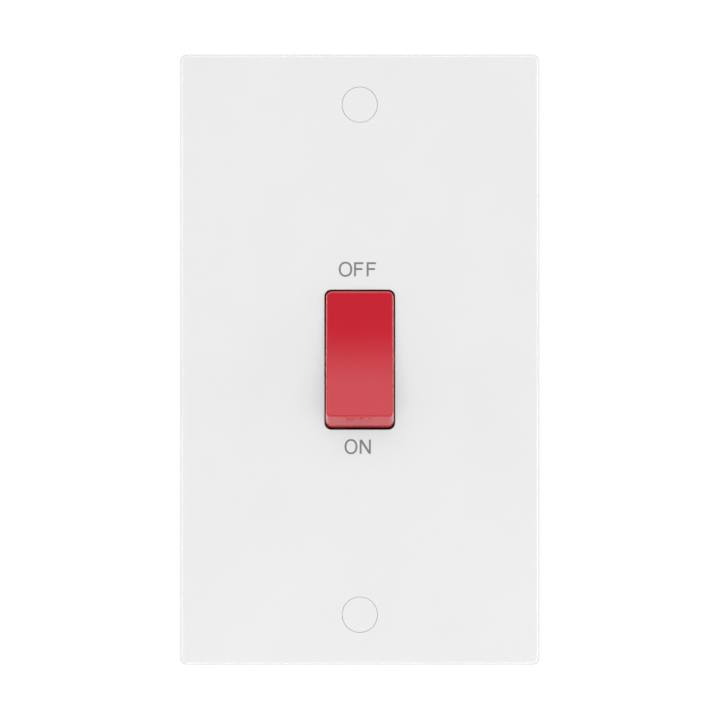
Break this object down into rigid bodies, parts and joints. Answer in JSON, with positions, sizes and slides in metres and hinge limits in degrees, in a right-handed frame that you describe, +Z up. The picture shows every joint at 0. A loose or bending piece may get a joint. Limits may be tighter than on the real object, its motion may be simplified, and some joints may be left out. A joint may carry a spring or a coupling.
{
  "type": "double pole switch",
  "caption": "Double pole wall switch: tall flat plate, wide-travel rocker, screw caps, and the contacts, terminals and screws that such a switch holds behind it.",
  "frame": {"origin": "middle of the plate's rear rim, in the wall plane, halfway between the two fixing screws", "axes": "+Z up (OFF end), +Y into the wall, +X to the right seen from the front"},
  "size_m": [0.086, 0.0361, 0.146],
  "materials": {
    "plate_urea": "gloss",
    "cap_urea": "gloss",
    "rocker_red": "gloss",
    "base_moulding": "satin",
    "cover_moulding": "satin",
    "plunger_nylon": "satin",
    "zinc_steel": "zinc plated",
    "spring_steel": "bright",
    "clamp_screw": "bright",
    "terminal_brass": "machined",
    "strip_copper": "stamped",
    "contact_silver": "satin"
  },
  "bodies": {
    "casing": {"front_plate": "plate_urea", "mechanism_cover": "cover_moulding", "switch_base": "base_moulding", "base_screws": "zinc_steel", "fixing_screws": "zinc_steel", "strip_rivets": "strip_copper", "earth_terminal": "terminal_brass", "fixed_button_right": "contact_silver", "supply_strip_right": "strip_copper", "load_strip_right": "strip_copper", "supply_terminal_right": "terminal_brass", "load_terminal_right": "terminal_brass", "fixed_button_left": "contact_silver", "supply_strip_left": "strip_copper", "load_strip_left": "strip_copper", "supply_terminal_left": "terminal_brass", "load_terminal_left": "terminal_brass"},
    "rocker": {"rocker": "rocker_red"},
    "plunger_right": {"plunger_right": "plunger_nylon", "plunger_spring_right": "spring_steel"},
    "blade_right": {"contact_blade_right": "strip_copper", "moving_button_right": "contact_silver"},
    "supply_screw_1_right": {"supply_screw_1_right": "clamp_screw"},
    "supply_screw_2_right": {"supply_screw_2_right": "clamp_screw"},
    "load_screw_1_right": {"load_screw_1_right": "clamp_screw"},
    "load_screw_2_right": {"load_screw_2_right": "clamp_screw"},
    "earth_screw_right": {"earth_screw_right": "clamp_screw"},
    "plunger_left": {"plunger_left": "plunger_nylon", "plunger_spring_left": "spring_steel"},
    "blade_left": {"contact_blade_left": "strip_copper", "moving_button_left": "contact_silver"},
    "supply_screw_1_left": {"supply_screw_1_left": "clamp_screw"},
    "supply_screw_2_left": {"supply_screw_2_left": "clamp_screw"},
    "load_screw_1_left": {"load_screw_1_left": "clamp_screw"},
    "load_screw_2_left": {"load_screw_2_left": "clamp_screw"},
    "earth_screw_left": {"earth_screw_left": "clamp_screw"},
    "screw_cap_top": {"screw_cap_top": "cap_urea"},
    "screw_cap_bottom": {"screw_cap_bottom": "cap_urea"}
  },
  "joints": [
    {"name": "rocker_tilt", "type": "hinge", "parent": "casing", "child": "rocker", "pos_m": [0, -0.0055, 0], "axis": [1, 0, 0], "range_deg": [0, 20]},
    {"name": "plunger_right_press", "type": "slide", "parent": "rocker", "child": "plunger_right", "axis": [0, -0.9848, 0.1736], "range_m": [0, 0.0024], "stiffness_N_per_m": 1500, "springref_m": -0.003, "deforming": ["plunger_spring_right"]},
    {"name": "blade_right_rock", "type": "hinge", "parent": "casing", "child": "blade_right", "pos_m": [0.0049, 0.008, 0], "axis": [1, 0, 0], "range_deg": [-12, 0]},
    {"name": "supply_screw_1_right_drive", "type": "slide", "parent": "casing", "child": "supply_screw_1_right", "axis": [0, -1, 0], "range_m": [0, 0.0056]},
    {"name": "supply_screw_2_right_drive", "type": "slide", "parent": "casing", "child": "supply_screw_2_right", "axis": [0, -1, 0], "range_m": [0, 0.0056]},
    {"name": "load_screw_1_right_drive", "type": "slide", "parent": "casing", "child": "load_screw_1_right", "axis": [0, -1, 0], "range_m": [0, 0.0056]},
    {"name": "load_screw_2_right_drive", "type": "slide", "parent": "casing", "child": "load_screw_2_right", "axis": [0, -1, 0], "range_m": [0, 0.0056]},
    {"name": "earth_screw_right_drive", "type": "slide", "parent": "casing", "child": "earth_screw_right", "axis": [0, -1, 0], "range_m": [0, 0.0032]},
    {"name": "plunger_left_press", "type": "slide", "parent": "rocker", "child": "plunger_left", "axis": [0, -0.9848, 0.1736], "range_m": [0, 0.0024], "stiffness_N_per_m": 1500, "springref_m": -0.003, "deforming": ["plunger_spring_left"]},
    {"name": "blade_left_rock", "type": "hinge", "parent": "casing", "child": "blade_left", "pos_m": [-0.0049, 0.008, 0], "axis": [1, 0, 0], "range_deg": [-12, 0]},
    {"name": "supply_screw_1_left_drive", "type": "slide", "parent": "casing", "child": "supply_screw_1_left", "axis": [0, -1, 0], "range_m": [0, 0.0056]},
    {"name": "supply_screw_2_left_drive", "type": "slide", "parent": "casing", "child": "supply_screw_2_left", "axis": [0, -1, 0], "range_m": [0, 0.0056]},
    {"name": "load_screw_1_left_drive", "type": "slide", "parent": "casing", "child": "load_screw_1_left", "axis": [0, -1, 0], "range_m": [0, 0.0056]},
    {"name": "load_screw_2_left_drive", "type": "slide", "parent": "casing", "child": "load_screw_2_left", "axis": [0, -1, 0], "range_m": [0, 0.0056]},
    {"name": "earth_screw_left_drive", "type": "slide", "parent": "casing", "child": "earth_screw_left", "axis": [0, -1, 0], "range_m": [0, 0.0032]},
    {"name": "screw_cap_top_pull", "type": "slide", "parent": "casing", "child": "screw_cap_top", "axis": [0, -1, 0], "range_m": [0, 0.006]},
    {"name": "screw_cap_bottom_pull", "type": "slide", "parent": "casing", "child": "screw_cap_bottom", "axis": [0, -1, 0], "range_m": [0, 0.006]}
  ],
  "couplings": [
    {"joint": "blade_right_rock", "follows": "rocker_tilt", "ratio": -0.6},
    {"joint": "blade_left_rock", "follows": "rocker_tilt", "ratio": -0.6}
  ]
}
